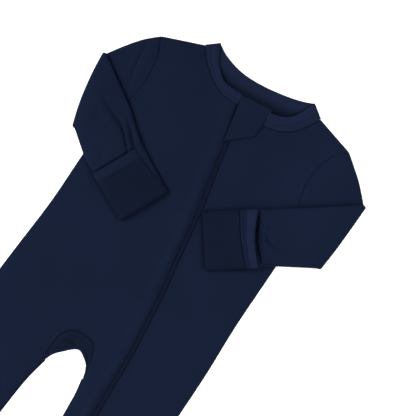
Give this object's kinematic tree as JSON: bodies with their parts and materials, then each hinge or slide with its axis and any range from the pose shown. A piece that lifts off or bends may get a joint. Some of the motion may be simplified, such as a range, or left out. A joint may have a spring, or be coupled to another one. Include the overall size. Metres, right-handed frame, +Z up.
{
  "type": "baby's zip-front sleeper romper (onesie pajama), laid flat",
  "caption": "Long-sleeved zip-front baby sleeper in plain jersey, laid flat with both sleeves folded over the chest and mittens turned back.",
  "frame": {"origin": "on the surface the garment lies on, under the middle of its bounding box", "axes": "+Y from the hems towards the neck, +X towards the wearer's left, +Z up out of the surface"},
  "size_m": [0.3346, 0.5718, 0.0143],
  "materials": {
    "jersey": "matte fine jersey knit, navy",
    "mitten_jersey": "matte fine jersey knit, wrong side out, slightly darker navy",
    "binding": "fine rib knit binding, slightly lighter navy",
    "zip_tape": "woven polyester tape with a nylon coil, navy",
    "zip_slider": "satin navy enamel"
  },
  "bodies": {
    "root": {"back": "jersey", "front_right": "jersey", "front_left": "jersey", "gusset": "jersey", "sleeve_right": "jersey", "sleeve_left": "jersey", "mitten_right": "mitten_jersey", "mitten_left": "mitten_jersey", "mitten_band_left": "binding", "neckband": "binding", "zip_guard": "jersey", "zip_tape_right": "zip_tape", "zip_tape_left": "zip_tape", "zip_slider": "zip_slider"}
  },
  "joints": []
}
